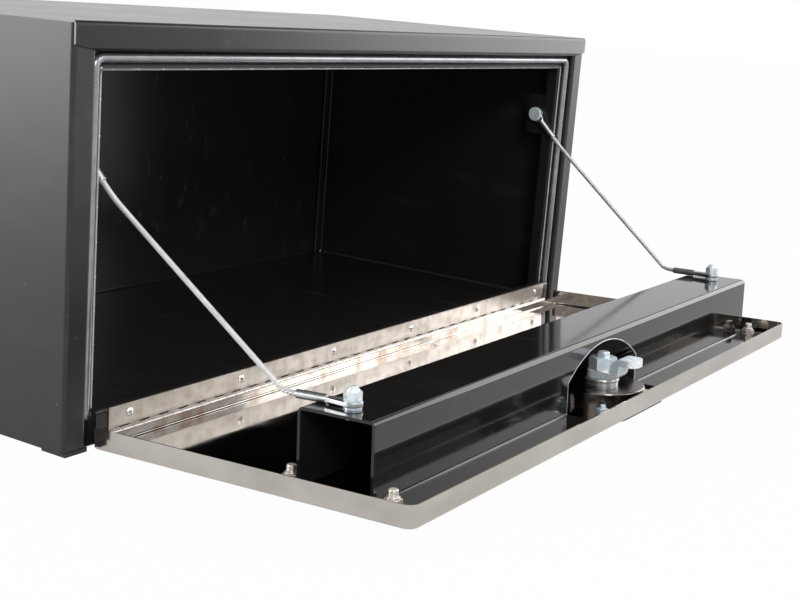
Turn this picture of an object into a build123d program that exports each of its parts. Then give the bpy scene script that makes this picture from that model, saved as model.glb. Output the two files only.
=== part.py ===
"""Underbody truck tool box with a drop-down door, as an assembly of separate pieces.

Millimetres, +Z up, +X to the right of someone who faces the door. The pieces are drawn
with the front of the door frame in the plane Y = 0 and the box behind it (+Y). When they
are saved they are moved so that the origin is the middle of the open object's footprint,
on the ground.

Door pieces are drawn with the door square to the front: "out" is the distance from the
hinge pin towards the free edge of the door, and "up" is the height above the pin. They
are tipped up by DOOR_TIP when they are saved, which is where the cables hold the door.
"""

import os
from math import asin, atan2, cos, degrees, hypot, radians, sin, sqrt, tan

from build123d import *

os.makedirs("parts", exist_ok=True)

# The box
WIDTH = 914.4
DEPTH = 406.4
BODY_HEIGHT = 355.6
SHEET = 1.9
BEND = 1.9
WELD_GAP = 0.2
PAD_HEIGHT = 4.0
PAD_SIZE = (25.0, 28.0)
PAD_INSET = 2.0
BACK_FLANGE = 17.2

# The door frame: stiles, top rail and sill, and the lips behind them that carry the seal
STILE_FACE = 25.2
RAIL_FACE = 23.6
RAIL_END_RISE = 5.0
LIP_BACK = 12.0
LIP_FACE = 15.6
LIP_RETURN = 16.0
SILL_HEIGHT = 30.6
SILL_RETURN = 9.5
SILL_END_GAP = 11.5

# The bulb seal on the lips
SEAL_RADIUS = 5.1
SEAL_CENTRE_TO_LIP = 2.9
SEAL_INSET = 6.0
SEAL_CORNER = 8.0
SEAL_FOOT = 27.0

# The piano hinge
PIN_RADIUS = 1.5
PIN_CLEARANCE = 0.075
PIN_HEAD_RADIUS = 2.4
PIN_HEAD = 1.0
KNUCKLE_RADIUS = 3.2
KNUCKLE = 12.7
KNUCKLE_GAP = 0.6
HINGE_SHORT = 101.6
LEAF = 1.2
HINGE_CLEARANCE = 0.4
SLOT_CLEARANCE = 1.3
HINGE_RISE = 8.0
DOOR_LEAF_DEPTH = 5.0
RIVET_COUNT = 6
RIVET_RISE = 14.0
RIVET_SHANK = 2.0
RIVET_HEAD_RADIUS = 4.0
RIVET_HEAD = 2.2
RIVET_TAIL_RADIUS = 3.2
RIVET_TAIL = 1.6

# The door pan
DOOR_TIP = 3.0
DOOR_SHEET = 1.2
DOOR_SIDE_GAP = 3.0
DOOR_TOP_GAP = 2.5
DOOR_DEPTH = 19.2
DOOR_SKIN = -8.0
DOOR_NEAR_LIP = 1.0
DOOR_CORNER = 10.0
DOOR_BEND = 3.0

# The lock channel, a hat section across the inside of the door
CHANNEL_SHEET = 2.5
CHANNEL_BEND = 2.4
CHANNEL_SHORT = 95.25
CHANNEL_SETBACK = 48.0
CHANNEL_WIDE = 72.0
CHANNEL_HEIGHT = 68.0
CHANNEL_FOOT = 24.0
ARCH_HALF = 80.0
ARCH_SIDE = 32.8
ARCH_RADIUS = 128.0
STUD_IN = 9.6
STUD_OFF = 12.0
STUD_END = 5.5

# The T-handle latch in its round recess, in the middle of the door
LATCH_SETBACK = 49.5
DISH_SHEET = 1.2
DISH_RADIUS = 41.5
DISH_HEIGHT = 21.0
DISH_ROUND = 2.2
FLANGE_SIZE = (124.0, 93.0)
FLANGE_CORNER = 20.0
GASKET = 1.0
GASKET_INSET = 0.5
PAN_HOLE_GAP = 0.3
DISH_STUD_SPACING = (92.0, 46.0)
HOUSING_RADIUS = 16.0
HOUSING_HEIGHT = 3.2
COLLAR_RADIUS = 17.0
COLLAR = 3.5
COLLAR_ROUND = 1.4
SHAFT_RADIUS = 6.0
SHAFT_CLEARANCE = 0.08
SHAFT_FLAT = 4.8
SHAFT_TOP = 43.0
RUN_GAP = 0.3
YOKE_RADIUS = 9.0
YOKE_DEPTH = 4.0
YOKE_SLOT = 6.1
YOKE_SLOT_TOP = 6.0
CAM_SHEET = 7.0
CAM_BEND = 1.5
CAM_WIDE = 25.0
CAM_HUB = 14.0
CAM_RISER = 22.0
CAM_STEP = 15.0
CAM_REACH = 40.0
CAM_NUT_FLATS = 24.0
CAM_NUT_HEIGHT = 13.0
STEM_HALF = 5.7
STEM_ROUND = 5.0
GRIP_HALF = 35.0
GRIP_NEAR = 10.0
GRIP_FAR = 21.0
GRIP_ROUND = 3.0
BOSS_OUT = 15.5
BOSS_RADIUS = 8.0
BOSS_FACE = 7.0
HANDLE_PIN_RADIUS = 2.0
HANDLE_PIN_CLEARANCE = 0.05
PLUG_RADIUS = 5.0
PLUG_CLEARANCE = 0.1
PLUG_DEPTH = 9.5
PLUG_PROUD = 0.3
BORE_DEPTH = 10.0
KEY_SLOT = (1.2, 6.0, 5.0)

# The door cables: the eyes at their ends, the sleeves on them and the bolts that hold them
CABLE_RADIUS = 2.4
EYE_THICK = 4.2
EYE_WIRE = 4.0
SLEEVE_RADIUS = 3.7
SLEEVE_LENGTH = 28.0
SLEEVE_ROUND = 1.0
ANCHOR_IN = 4.1
ANCHOR_Y = 38.0
ANCHOR_DROP = 63.4
ANCHOR_HEAD_RADIUS = 9.0
ANCHOR_HEAD = 2.2
ANCHOR_RUN = (-29.0, -28.0)
SPACER_RADIUS = 7.5
BRACKET_SHEET = 2.5
BRACKET_SIZE = (38.0, 52.0)
BRACKET_FRONT = 16.0
LOWER_IN = 21.6
LOWER_OFF = 36.5
LOWER_RUN = (4.0, 51.0)
LOWER_SPACER = 1.9
LOWER_WASHER = 1.6
CABLE_END_GAP = 0.3
CABLE_LEAD_UPPER = 14.0
CABLE_LEAD_LOWER = 12.0
CABLE_BEND_SHARE = 0.45

# Bolts, studs and nuts
M8 = 4.0
M8_FLATS = 13.0
M8_NUT_HEIGHT = 6.5
M6 = 3.0
M6_FLATS = 10.0
M6_NUT_HEIGHT = 5.0
BOLT_END = 3.5
HOLE_PLAY = 0.3
THREAD_PLAY = 0.02
NYLON_COLLAR = 2.0
BOLT_HEAD = 5.3

# Places worked out from the sizes above
HALF = WIDTH / 2
FLOOR_TOP = PAD_HEIGHT + SHEET
BODY_TOP = PAD_HEIGHT + BODY_HEIGHT
PLATE_UNDER = BODY_TOP - SHEET
BACK_IN = DEPTH - SHEET
SIDE_IN = HALF - SHEET
OPENING_HALF = HALF - STILE_FACE
OPENING_TOP = BODY_TOP - RAIL_FACE
LIP_HALF = OPENING_HALF - LIP_FACE
LIP_TOP = OPENING_TOP - LIP_FACE
SILL_TOP = PAD_HEIGHT + SILL_HEIGHT
SILL_HALF = OPENING_HALF - SILL_END_GAP
SEAL_Y = LIP_BACK - SEAL_CENTRE_TO_LIP
SEAL_HALF = OPENING_HALF - SEAL_INSET
SEAL_TOP = OPENING_TOP - SEAL_INSET
HINGE_Y = -(KNUCKLE_RADIUS + HINGE_CLEARANCE)
HINGE_Z = PAD_HEIGHT + HINGE_RISE
KNUCKLE_PAIRS = round((WIDTH - HINGE_SHORT) / (2 * KNUCKLE))
HINGE_LENGTH = 2 * KNUCKLE_PAIRS * KNUCKLE
KNUCKLE_ROOM = KNUCKLE_RADIUS + SLOT_CLEARANCE
RIVET_PITCH = WIDTH / RIVET_COUNT
RIVET_Z = HINGE_Z + RIVET_RISE
DOOR_NEAR = KNUCKLE_RADIUS + HINGE_CLEARANCE
DOOR_HALF = OPENING_HALF - DOOR_SIDE_GAP
DOOR_REACH = OPENING_TOP - HINGE_Z - DOOR_TOP_GAP
DOOR_FLOOR = DOOR_SKIN + DOOR_SHEET
CHANNEL_LENGTH = WIDTH - CHANNEL_SHORT
CHANNEL_HALF = CHANNEL_LENGTH / 2
CHANNEL_FAR = DOOR_REACH - CHANNEL_SETBACK
CHANNEL_NEAR = CHANNEL_FAR - CHANNEL_WIDE
LATCH_OUT = DOOR_REACH - LATCH_SETBACK
CHANNEL_FOOT_TOP = DOOR_FLOOR + CHANNEL_SHEET
CHANNEL_TOP = DOOR_FLOOR + CHANNEL_HEIGHT
CHANNEL_STUDS = [
    (side * (CHANNEL_HALF - STUD_IN), out)
    for side in (-1, 1)
    for out in (CHANNEL_NEAR - STUD_OFF, CHANNEL_FAR + STUD_OFF)
]
FLANGE_TOP = DOOR_SKIN - GASKET
DISH_FACE = FLANGE_TOP - DISH_SHEET
DISH_TOP = DISH_FACE + DISH_HEIGHT
DISH_CEILING = DISH_TOP - DISH_SHEET
DISH_OUTER = DISH_RADIUS + DISH_SHEET
DISH_STUDS = [
    (side * DISH_STUD_SPACING[0] / 2, LATCH_OUT + row * DISH_STUD_SPACING[1] / 2)
    for side in (-1, 1)
    for row in (-1, 1)
]
HOUSING_TOP = DISH_TOP + HOUSING_HEIGHT
COLLAR_TOP = HOUSING_TOP + COLLAR
CAM_UNDER = COLLAR_TOP + RUN_GAP
LOWER_X = CHANNEL_HALF - LOWER_IN
LOWER_OUT = CHANNEL_NEAR + LOWER_OFF
LOWER_END_X = LOWER_X + LOWER_RUN[0]
LOWER_END_OUT = LOWER_OUT - LOWER_RUN[1]
ANCHOR_X = LIP_HALF - ANCHOR_IN
ANCHOR_Z = LIP_TOP - ANCHOR_DROP
LOWER_EYE_UNDER = CHANNEL_TOP + LOWER_SPACER
LOWER_EYE_UP = LOWER_EYE_UNDER + EYE_THICK / 2
LOWER_NUT_UP = LOWER_EYE_UNDER + EYE_THICK + LOWER_WASHER
ANCHOR_HEAD_X = ANCHOR_X - EYE_THICK / 2
SPACER_X = ANCHOR_X + EYE_THICK / 2
BRACKET_X = LIP_HALF + SHEET
FRONT_REACH = (
    -HINGE_Y
    + DOOR_REACH * cos(radians(DOOR_TIP))
    - (DOOR_SKIN + DOOR_BEND) * sin(radians(DOOR_TIP))
)
ORIGIN_Y = (DEPTH - FRONT_REACH) / 2

# The axes that pieces turn about
PIN_AXIS = Axis((0, HINGE_Y, HINGE_Z), (-1, 0, 0))
LATCH_AXIS = Axis((0, HINGE_Y - LATCH_OUT, HINGE_Z), (0, 0, 1))


def save(piece, label, door_piece=False):
    """Label a piece, put it in its place in the assembly and write its file."""
    placed = piece.part
    if door_piece:
        placed = placed.rotate(PIN_AXIS, DOOR_TIP)
    placed = placed.moved(Location((0, -ORIGIN_Y, 0)))
    placed.label = label
    export_step(placed, f"parts/{label}.step")
    print(f"{label}: {len(placed.solids())} solid(s), {placed.volume:.0f} mm3")


def door_point(x, out, up):
    """A point of the square-open door, in the frame that the pieces are drawn in."""
    return (x, HINGE_Y - out, HINGE_Z + up)


def tipped_point(x, out, up):
    """The same point once the door is tipped to where the cables hold it."""
    tip = radians(DOOR_TIP)
    return (
        x,
        HINGE_Y - out * cos(tip) + up * sin(tip),
        HINGE_Z + out * sin(tip) + up * cos(tip),
    )


def level(up, x=0.0, out=0.0):
    """A level plane of the square-open door; its local Y points back to the box."""
    return Plane(origin=door_point(x, out, up), x_dir=(1, 0, 0), z_dir=(0, 0, 1))


def door_section(x):
    """A cross-section plane of the door, with local X as out and local Y as up."""
    return Plane(origin=door_point(x, 0, 0), x_dir=(0, -1, 0), z_dir=(-1, 0, 0))


def latch_section(off=0.0):
    """The plane across the latch, with local X as the box's X and local Y as up."""
    return Plane(origin=door_point(0, LATCH_OUT + off, 0), x_dir=(1, 0, 0), z_dir=(0, -1, 0))


def spots(places):
    """Places of the door, given as x and out, in a level plane."""
    return [(x, -out) for x, out in places]


def block(x, y, z, mode=Mode.ADD):
    """A box in the piece being built, from its limits along each axis."""
    (x0, x1), (y0, y1), (z0, z1) = sorted(x), sorted(y), sorted(z)
    with Locations(((x0 + x1) / 2, (y0 + y1) / 2, (z0 + z1) / 2)):
        Box(x1 - x0, y1 - y0, z1 - z0, mode=mode)


def door_block(x, out, up, mode=Mode.ADD):
    """The same for a piece of the door, from its limits in x, out and up."""
    block(
        x,
        (HINGE_Y - out[0], HINGE_Y - out[1]),
        (HINGE_Z + up[0], HINGE_Z + up[1]),
        mode=mode,
    )


def beside(points, thickness):
    """The path that runs a sheet's thickness to the left of a path of square turns."""
    shifted = []
    for number, (x, y) in enumerate(points):
        across = along = 0
        for start, end in ((number - 1, number), (number, number + 1)):
            if start < 0 or end >= len(points):
                continue
            run_x = points[end][0] - points[start][0]
            run_y = points[end][1] - points[start][1]
            length = hypot(run_x, run_y)
            across = across or -run_y / length
            along = along or run_x / length
        shifted.append((x + across * thickness, y + along * thickness))
    return shifted


def turns_left(before, corner, after):
    """Whether a path turns left at a corner."""
    across = (corner[0] - before[0]) * (after[1] - corner[1])
    return across > (corner[1] - before[1]) * (after[0] - corner[0])


def folded_sheet(points, thickness, bend):
    """Face of a folded sheet, to the left of a path whose turns are square."""
    left = [turns_left(*points[n - 1 : n + 2]) for n in range(1, len(points) - 1)]
    with BuildLine() as outline:
        right_side = FilletPolyline(*points, radius=[bend + thickness * turn for turn in left])
        left_side = FilletPolyline(
            *beside(points, thickness), radius=[bend + thickness * (not turn) for turn in left]
        )
        Line(right_side @ 0, left_side @ 0)
        Line(right_side @ 1, left_side @ 1)
    make_face(outline.edges())


def grouped(piece, places):
    """Copies of one fastener as the separate solids of one group."""
    with BuildPart() as group:
        with Locations(*places):
            add(piece)
    return group


def mirrored(piece):
    """The opposite hand of a piece."""
    with BuildPart() as opposite:
        mirror(piece.part, about=Plane.YZ)
    return opposite


def bolt_nut(flats, height, bore, collar=0.0):
    """A nut that stands on the origin, with turned-off corners and perhaps a round collar."""
    corner = flats / sqrt(3)
    with BuildPart() as nut:
        with BuildSketch():
            RegularPolygon(flats / 2, 6, major_radius=False)
        extrude(amount=height)
        with BuildSketch(Plane.XZ):
            with BuildLine():
                rise = (corner - flats / 2) * tan(radians(30))
                Polyline(
                    (0, 0),
                    (flats / 2, 0),
                    (corner, rise),
                    (corner, height - rise),
                    (flats / 2, height),
                    (0, height),
                    close=True,
                )
            make_face()
        revolve(axis=Axis.Z, mode=Mode.INTERSECT)
        if collar:
            with BuildSketch(Plane.XY.offset(height)):
                Circle(flats / 2 - 1)
            extrude(amount=collar)
            fillet(edges().group_by(Axis.Z)[-1], collar / 2)
        with BuildSketch():
            Circle(bore + THREAD_PLAY)
        extrude(amount=height + collar, mode=Mode.SUBTRACT)
    return nut.part


def washer(radius, thick, bore):
    """A washer that lies on the origin."""
    with BuildPart() as ring:
        with BuildSketch():
            Circle(radius)
            Circle(bore + THREAD_PLAY, mode=Mode.SUBTRACT)
        extrude(amount=thick)
    return ring.part


def stud(radius, length):
    """A stud that stands on the origin, with a pointed end."""
    with BuildPart() as rod:
        with BuildSketch():
            Circle(radius)
        extrude(amount=length)
        chamfer(edges().group_by(Axis.Z)[-1], radius / 5)
    return rod.part


def cable_eye(reach):
    """A cable's eye round a bolt at the origin, with its sleeve, reaching along +X."""
    sleeve_start = reach - SLEEVE_LENGTH
    bore = M8 + HOLE_PLAY / 2
    with BuildPart() as eye:
        with BuildSketch(Plane.XY.offset(-EYE_THICK / 2)):
            Circle(bore + EYE_WIRE)
            with Locations((sleeve_start + EYE_WIRE, 0)):
                Circle(SLEEVE_RADIUS - SLEEVE_ROUND)
            make_hull()
        extrude(amount=EYE_THICK)
        rims = edges().filter_by(Axis.Z, reverse=True).group_by(Axis.Z)
        fillet(rims[0] + rims[-1], EYE_THICK / 4)
        with BuildSketch(Plane.XY.offset(-EYE_THICK / 2)):
            Circle(bore)
            with Locations((max(bore, sleeve_start - EYE_WIRE), 0)):
                Circle(bore / 4)
            make_hull()
        extrude(amount=EYE_THICK, mode=Mode.SUBTRACT)
        with BuildSketch(Plane.YZ.offset(sleeve_start)):
            Circle(SLEEVE_RADIUS)
        extrude(amount=SLEEVE_LENGTH)
        fillet(edges().group_by(Axis.X)[-1], SLEEVE_ROUND)
    return eye.part


M8_NUT = bolt_nut(M8_FLATS, M8_NUT_HEIGHT, M8)
M8_LOCK_NUT = bolt_nut(M8_FLATS, M8_NUT_HEIGHT, M8, collar=NYLON_COLLAR)
M6_NUT = bolt_nut(M6_FLATS, M6_NUT_HEIGHT, M6)


# The floor, the back and the sill are one folded sheet
RIVET_SPOTS = [(n - (RIVET_COUNT - 1) / 2) * RIVET_PITCH for n in range(RIVET_COUNT)]
with BuildPart() as floor_and_back:
    with BuildSketch(Plane.YZ.offset(-HALF)):
        folded_sheet(
            [
                (SILL_RETURN, SILL_TOP),
                (0, SILL_TOP),
                (0, PAD_HEIGHT),
                (DEPTH, PAD_HEIGHT),
                (DEPTH, PLATE_UNDER),
            ],
            SHEET,
            BEND,
        )
    extrude(amount=WIDTH)
    for side in (-1, 1):
        block(
            (side * SILL_HALF, side * WIDTH),
            (-SHEET, LIP_BACK),
            (FLOOR_TOP, SILL_TOP + SHEET),
            mode=Mode.SUBTRACT,
        )
        block(
            (side * (SIDE_IN - WELD_GAP), side * WIDTH),
            (-SHEET, BACK_IN - BEND - WELD_GAP),
            (0, BODY_TOP),
            mode=Mode.SUBTRACT,
        )
    with Locations(*[(x, 0, RIVET_Z) for x in RIVET_SPOTS]):
        Cylinder(RIVET_SHANK + THREAD_PLAY, 4 * SHEET, rotation=(90, 0, 0), mode=Mode.SUBTRACT)
save(floor_and_back, "floor_and_back")


# Each side is one folded sheet: back flange, wall, stile, and the lip that carries the seal
with BuildPart() as side_panel_left:
    with BuildSketch(Plane.XY.offset(PAD_HEIGHT)):
        folded_sheet(
            [
                (BACK_FLANGE - HALF, BACK_IN),
                (-HALF, BACK_IN),
                (-HALF, 0),
                (-OPENING_HALF, 0),
                (-OPENING_HALF, LIP_BACK),
                (-LIP_HALF, LIP_BACK),
                (-LIP_HALF, LIP_BACK + LIP_RETURN),
            ],
            SHEET,
            BEND,
        )
    extrude(amount=PLATE_UNDER - PAD_HEIGHT)
    block((-SIDE_IN, 0), (-SHEET, DEPTH), (0, FLOOR_TOP), mode=Mode.SUBTRACT)
    block(
        (-WIDTH, 0),
        (BACK_IN - BEND - WELD_GAP, DEPTH),
        (0, FLOOR_TOP + BEND),
        mode=Mode.SUBTRACT,
    )
side_panel_right = mirrored(side_panel_left)
save(side_panel_left, "side_panel_left")
save(side_panel_right, "side_panel_right")


# The top, its front rail and the upper lip are one folded sheet
with BuildPart() as top_hood:
    with BuildSketch(Plane.YZ.offset(-HALF)):
        folded_sheet(
            [
                (DEPTH, BODY_TOP),
                (-SHEET, BODY_TOP),
                (-SHEET, OPENING_TOP),
                (LIP_BACK, OPENING_TOP),
                (LIP_BACK, LIP_TOP),
                (LIP_BACK + LIP_RETURN, LIP_TOP),
            ],
            SHEET,
            BEND,
        )
    extrude(amount=WIDTH)
    for side in (-1, 1):
        block(
            (side * (OPENING_HALF - WELD_GAP), side * WIDTH),
            (0, LIP_BACK),
            (LIP_TOP - SHEET, PLATE_UNDER),
            mode=Mode.SUBTRACT,
        )
        block(
            (side * (LIP_HALF - WELD_GAP), side * WIDTH),
            (LIP_BACK - WELD_GAP, LIP_BACK + LIP_RETURN + SHEET),
            (LIP_TOP - SHEET, PLATE_UNDER),
            mode=Mode.SUBTRACT,
        )
        with BuildSketch(Plane.XZ):
            with BuildLine():
                Polyline(
                    (side * OPENING_HALF, OPENING_TOP),
                    (side * HALF, OPENING_TOP + RAIL_END_RISE),
                    (side * HALF, OPENING_TOP - SHEET),
                    (side * OPENING_HALF, OPENING_TOP - SHEET),
                    close=True,
                )
            make_face()
        extrude(amount=2 * SHEET, mode=Mode.SUBTRACT)
save(top_hood, "top_hood")


# Pads under the four corners
with BuildPart() as foot_pads:
    for side in (-1, 1):
        outer = SIDE_IN - PAD_INSET
        for front in (PAD_INSET, DEPTH - PAD_INSET - PAD_SIZE[1]):
            block(
                (side * (outer - PAD_SIZE[0]), side * outer),
                (front, front + PAD_SIZE[1]),
                (0, PAD_HEIGHT),
            )
save(foot_pads, "foot_pads")


# The bulb seal runs up one side lip, across the upper lip and down the other
with BuildPart() as door_seal:
    with BuildLine(Plane.XZ.offset(-SEAL_Y)) as seal_path:
        FilletPolyline(
            (-SEAL_HALF, SEAL_FOOT),
            (-SEAL_HALF, SEAL_TOP),
            (SEAL_HALF, SEAL_TOP),
            (SEAL_HALF, SEAL_FOOT),
            radius=SEAL_CORNER,
        )
    seal_start = Plane(origin=(-SEAL_HALF, SEAL_Y, SEAL_FOOT), x_dir=(1, 0, 0), z_dir=(0, 0, 1))
    with BuildSketch(seal_start):
        Circle(SEAL_RADIUS)
        with Locations((0, SEAL_CENTRE_TO_LIP + SEAL_RADIUS)):
            Rectangle(2 * SEAL_RADIUS, 2 * SEAL_RADIUS, mode=Mode.SUBTRACT)
    sweep(path=seal_path.wires()[0])
save(door_seal, "door_seal")


def knuckle_spots(first):
    """Middles of the knuckles of one leaf; the other leaf has the ones between."""
    pairs = range(KNUCKLE_PAIRS)
    return [((2 * n + first + 0.5) * KNUCKLE - HINGE_LENGTH / 2, HINGE_Y, HINGE_Z) for n in pairs]


def knuckles(own, other):
    """Add a leaf's own knuckles, with room for the other leaf's and a bore for the pin."""
    with Locations(*knuckle_spots(other)):
        Cylinder(KNUCKLE_ROOM, KNUCKLE, rotation=(0, 90, 0), mode=Mode.SUBTRACT)
    with Locations(*knuckle_spots(own)):
        Cylinder(KNUCKLE_RADIUS, KNUCKLE - KNUCKLE_GAP, rotation=(0, 90, 0))
    with Locations((0, HINGE_Y, HINGE_Z)):
        Cylinder(PIN_RADIUS + PIN_CLEARANCE, WIDTH, rotation=(0, 90, 0), mode=Mode.SUBTRACT)


# The hinge leaf on the sill
with BuildPart() as hinge_body_leaf:
    block((-HINGE_LENGTH / 2, HINGE_LENGTH / 2), (-LEAF, 0), (HINGE_Z, SILL_TOP))
    knuckles(0, 1)
    with Locations(*[(x, 0, RIVET_Z) for x in RIVET_SPOTS]):
        Cylinder(RIVET_SHANK + THREAD_PLAY, 4 * SHEET, rotation=(90, 0, 0), mode=Mode.SUBTRACT)
save(hinge_body_leaf, "hinge_body_leaf")


# The hinge pin, with a peened head at each end
with BuildPart() as hinge_pin:
    with Locations((0, HINGE_Y, HINGE_Z)):
        Cylinder(PIN_RADIUS, HINGE_LENGTH + 2 * PIN_HEAD, rotation=(0, 90, 0))
    with Locations(*[(s * (HINGE_LENGTH + PIN_HEAD) / 2, HINGE_Y, HINGE_Z) for s in (-1, 1)]):
        Cylinder(PIN_HEAD_RADIUS, PIN_HEAD, rotation=(0, 90, 0))
save(hinge_pin, "hinge_pin")


# Rivets through the leaf and the sill, with domed heads in front
with BuildPart() as rivet:
    grip = LEAF + SHEET
    ball = (RIVET_HEAD_RADIUS**2 + RIVET_HEAD**2) / (2 * RIVET_HEAD)
    half_turn = asin(RIVET_HEAD_RADIUS / ball) / 2
    with BuildSketch(Plane.XZ):
        with BuildLine():
            dome = ThreePointArc(
                (RIVET_HEAD_RADIUS, 0),
                (ball * sin(half_turn), RIVET_HEAD - ball * (1 - cos(half_turn))),
                (0, RIVET_HEAD),
            )
            Polyline(
                dome @ 1,
                (0, -grip - RIVET_TAIL),
                (RIVET_TAIL_RADIUS, -grip - RIVET_TAIL),
                (RIVET_TAIL_RADIUS, -grip),
                (RIVET_SHANK, -grip),
                (RIVET_SHANK, 0),
                dome @ 0,
            )
        make_face()
    revolve(axis=Axis.Z)
hinge_rivets = grouped(rivet.part, [Location((x, -LEAF, RIVET_Z), (90, 0, 0)) for x in RIVET_SPOTS])
save(hinge_rivets, "hinge_rivets")


# Brackets behind the side lips, which hold the upper ends of the cables
with BuildPart() as cable_bracket_right:
    deep, tall = BRACKET_SIZE
    block(
        (BRACKET_X, BRACKET_X + BRACKET_SHEET),
        (BRACKET_FRONT, BRACKET_FRONT + deep),
        (ANCHOR_Z - tall / 2, ANCHOR_Z + tall / 2),
    )
    back_edges = edges().filter_by(Axis.X).group_by(Axis.Y)[-1]
    fillet(back_edges, deep / 4)
    with Locations((BRACKET_X, ANCHOR_Y, ANCHOR_Z)):
        Cylinder(M8 + HOLE_PLAY, 3 * BRACKET_SHEET, rotation=(0, 90, 0), mode=Mode.SUBTRACT)
save(cable_bracket_right, "cable_bracket_right")
save(mirrored(cable_bracket_right), "cable_bracket_left")


# The anchor bolt that holds the upper eye: a flat round head towards the middle of the box
anchor_length = BRACKET_X + BRACKET_SHEET + M8_NUT_HEIGHT + BOLT_END - ANCHOR_HEAD_X
with BuildPart() as anchor_bolt:
    with BuildSketch(Plane.XY.offset(-ANCHOR_HEAD)):
        Circle(ANCHOR_HEAD_RADIUS)
    extrude(amount=ANCHOR_HEAD)
    fillet(edges().group_by(Axis.Z)[0], ANCHOR_HEAD / 2)
    with BuildSketch():
        Circle(M8)
    extrude(amount=anchor_length)
    chamfer(edges().group_by(Axis.Z)[-1], M8 / 5)


def anchor_pair(piece, x):
    """A fastener of the cable anchors, on the right and turned about on the left."""
    return grouped(
        piece,
        [
            Location((x, ANCHOR_Y, ANCHOR_Z), (0, 90, 0)),
            Location((-x, ANCHOR_Y, ANCHOR_Z), (0, -90, 0)),
        ],
    )


save(anchor_pair(anchor_bolt.part, ANCHOR_HEAD_X), "anchor_bolts")
save(anchor_pair(washer(SPACER_RADIUS, BRACKET_X - SPACER_X, M8), SPACER_X), "anchor_spacers")
save(anchor_pair(M8_NUT, BRACKET_X + BRACKET_SHEET), "anchor_nuts")


# The cables' upper eyes hang on the anchor bolts and point at the door
upper_reach = hypot(*ANCHOR_RUN)
upper_plane = Plane(
    origin=(ANCHOR_X, ANCHOR_Y, ANCHOR_Z),
    x_dir=(0, ANCHOR_RUN[0] / upper_reach, ANCHOR_RUN[1] / upper_reach),
    z_dir=(1, 0, 0),
)
upper_eye = cable_eye(upper_reach)
with BuildPart() as upper_eye_right:
    with Locations(upper_plane.location):
        add(upper_eye)
save(upper_eye_right, "upper_eye_right")
save(mirrored(upper_eye_right), "upper_eye_left")


# The lower eyes lie on the lock channel and point back at the box
lower_turned = degrees(atan2(LOWER_RUN[1], LOWER_RUN[0]))
lower_eye = cable_eye(hypot(*LOWER_RUN))
with BuildPart() as lower_eye_right:
    with Locations(Location(door_point(LOWER_X, LOWER_OUT, LOWER_EYE_UP), (0, 0, lower_turned))):
        add(lower_eye)
save(lower_eye_right, "lower_eye_right", door_piece=True)
save(mirrored(lower_eye_right), "lower_eye_left", door_piece=True)


# Each cable runs from the end of its upper sleeve to just short of its lower sleeve
upper_way = Vector(0, *ANCHOR_RUN)
upper_end = Vector(ANCHOR_X, ANCHOR_Y, ANCHOR_Z) + upper_way
upper_knee = upper_end + upper_way.normalized() * CABLE_LEAD_UPPER
sleeve_end = Vector(*tipped_point(LOWER_END_X, LOWER_END_OUT, LOWER_EYE_UP))
eye_middle = Vector(*tipped_point(LOWER_X, LOWER_OUT, LOWER_EYE_UP))
lower_way = (sleeve_end - eye_middle).normalized()
lower_end = sleeve_end + lower_way * CABLE_END_GAP
lower_knee = lower_end + lower_way * CABLE_LEAD_LOWER
upper_turn = (upper_end - upper_knee).get_angle(upper_knee - lower_knee)
lower_turn = (upper_knee - lower_knee).get_angle(lower_way)
CABLE_ROUTE = [upper_end, upper_knee, lower_knee, lower_end]
CABLE_RADII = [
    CABLE_BEND_SHARE * CABLE_LEAD_UPPER / tan(radians(upper_turn / 2)),
    CABLE_BEND_SHARE * CABLE_LEAD_LOWER / tan(radians(lower_turn / 2)),
]
print("cable bend radii, mm:", [round(radius, 1) for radius in CABLE_RADII])
print("cable route, mm:", [[round(c, 1) for c in (p.X, p.Y - ORIGIN_Y, p.Z)] for p in CABLE_ROUTE])
with BuildPart() as cable_right:
    with BuildLine() as cable_path:
        FilletPolyline(*CABLE_ROUTE, radius=CABLE_RADII)
    with BuildSketch(Plane(origin=upper_end, z_dir=upper_knee - upper_end)):
        Circle(CABLE_RADIUS)
    sweep(path=cable_path.wires()[0])
save(cable_right, "cable_right")
save(mirrored(cable_right), "cable_left")


# The door pan: a tray with rounded free corners and a low flange at the hinge
with BuildPart() as door_pan:
    pan_middle = (DOOR_NEAR + DOOR_REACH) / 2
    pan_length = DOOR_REACH - DOOR_NEAR
    with BuildSketch(level(DOOR_SKIN, out=pan_middle)):
        Rectangle(2 * DOOR_HALF, pan_length)
        fillet(vertices().group_by(Axis.Y)[0], DOOR_CORNER)
    extrude(amount=DOOR_DEPTH)
    fillet(edges().group_by(Axis.Z)[0], DOOR_BEND)
    with BuildSketch(level(DOOR_FLOOR, out=pan_middle)):
        Rectangle(2 * (DOOR_HALF - DOOR_SHEET), pan_length - 2 * DOOR_SHEET)
        fillet(vertices().group_by(Axis.Y)[0], DOOR_CORNER - DOOR_SHEET)
    extrude(amount=DOOR_DEPTH, mode=Mode.SUBTRACT)
    inside_edges = edges().filter_by_position(
        Axis.Z, HINGE_Z + DOOR_FLOOR - THREAD_PLAY, HINGE_Z + DOOR_FLOOR + THREAD_PLAY
    )
    fillet(inside_edges, DOOR_BEND - DOOR_SHEET)
    door_block(
        (DOOR_SHEET - DOOR_HALF, DOOR_HALF - DOOR_SHEET),
        (0, DOOR_NEAR + 2 * DOOR_SHEET),
        (DOOR_NEAR_LIP, DOOR_DEPTH),
        mode=Mode.SUBTRACT,
    )
    with BuildSketch(level(DOOR_SKIN)):
        with Locations(*spots([(0, LATCH_OUT)])):
            Circle(DISH_OUTER + PAN_HOLE_GAP)
        with Locations(*spots(DISH_STUDS)):
            Circle(M6 + HOLE_PLAY)
    extrude(amount=2 * DOOR_SHEET, mode=Mode.SUBTRACT)
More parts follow.
